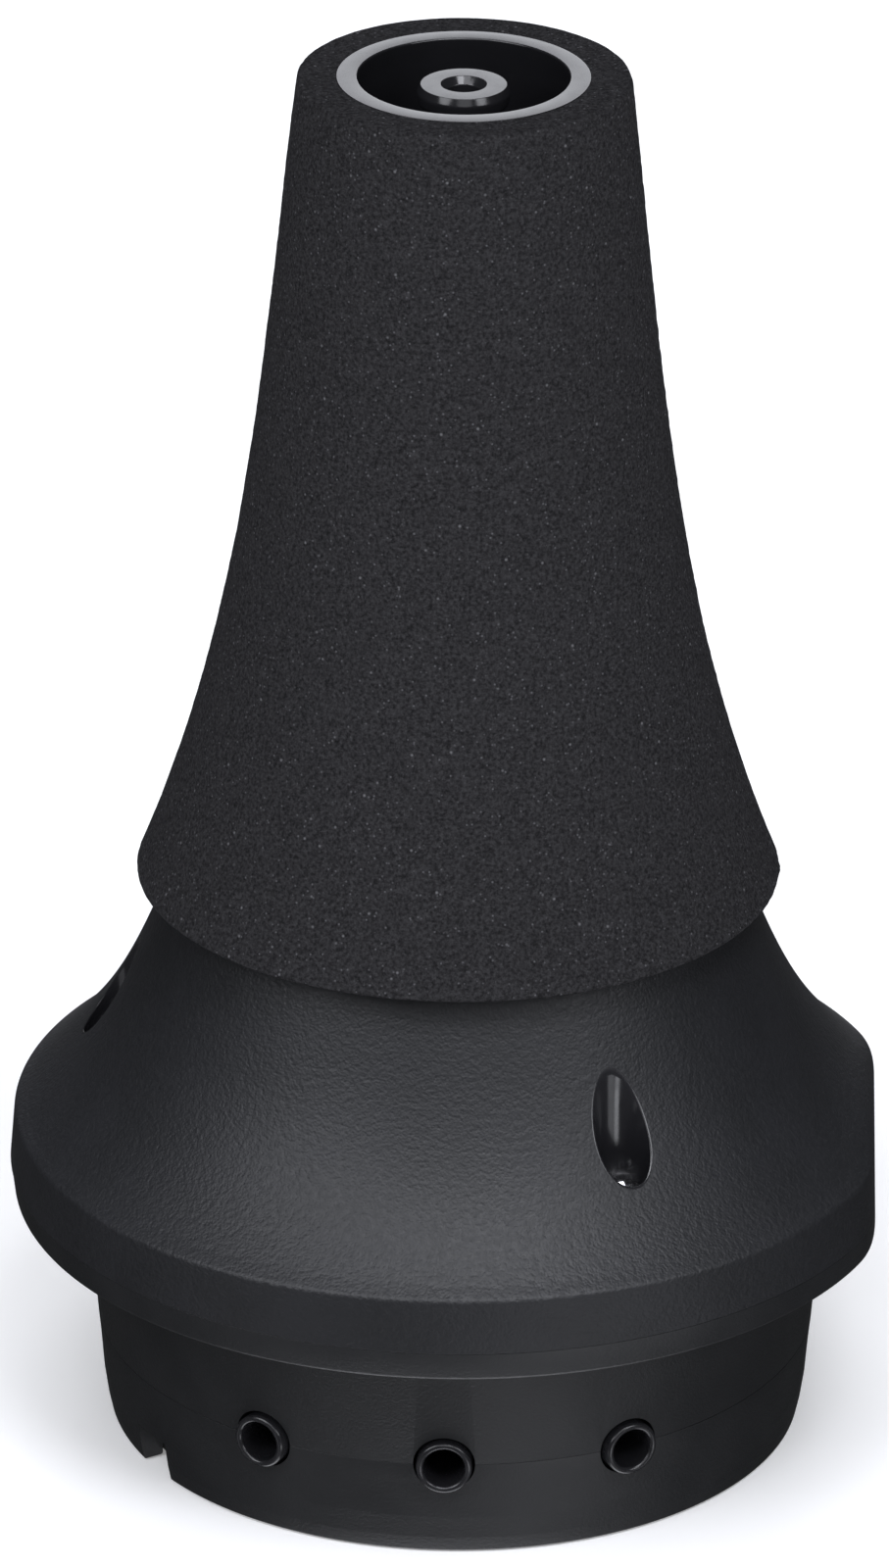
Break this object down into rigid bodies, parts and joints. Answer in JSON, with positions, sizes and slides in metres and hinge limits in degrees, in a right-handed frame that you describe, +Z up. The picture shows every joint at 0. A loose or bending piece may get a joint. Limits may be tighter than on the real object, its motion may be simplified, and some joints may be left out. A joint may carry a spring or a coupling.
{
  "type": "brass instrument practice mute",
  "caption": "Flared plastic practice mute for a trumpet with a conical foam sleeve, a tube in its neck, small vent tubes round its base and a push-in end plate.",
  "frame": {"origin": "centre of the end plate's outer face, in the plane that the base rests on", "axes": "+Z up along the mute's axis towards the neck's open end, -Y towards the middle vent tube, +X towards the flat on the skirt"},
  "size_m": [0.0853, 0.0878, 0.1396],
  "materials": {
    "sleeve_foam": "matte fine-cell foam, charcoal with pale flecks",
    "casing_plastic": "black moulded plastic with a fine spark-eroded texture",
    "gloss_plastic": "smooth glossy black",
    "seal_rubber": "matte black rubber",
    "screw_steel": "bright zinc-plated steel",
    "absorber_foam": "open-cell foam, dark grey"
  },
  "bodies": {
    "casing": {"foam_sleeve": "sleeve_foam", "bell_shell": "casing_plastic", "lower_casing": "casing_plastic", "base_ring": "casing_plastic", "central_tube": "gloss_plastic", "inner_baffle": "casing_plastic", "vent_tube_left": "gloss_plastic", "vent_tube_centre": "gloss_plastic", "vent_tube_right": "gloss_plastic", "vent_seal_left": "seal_rubber", "vent_seal_centre": "seal_rubber", "vent_seal_right": "seal_rubber", "case_screw_1": "screw_steel", "case_screw_2": "screw_steel", "case_screw_3": "screw_steel", "upper_absorber": "absorber_foam", "lower_absorber": "absorber_foam", "case_gasket": "seal_rubber"},
    "end_plate": {"end_plate": "casing_plastic", "end_plate_seal": "seal_rubber"}
  },
  "joints": [
    {"name": "end_plate_pull", "type": "slide", "parent": "casing", "child": "end_plate", "axis": [0, 0, -1], "range_m": [0, 0.006]}
  ]
}
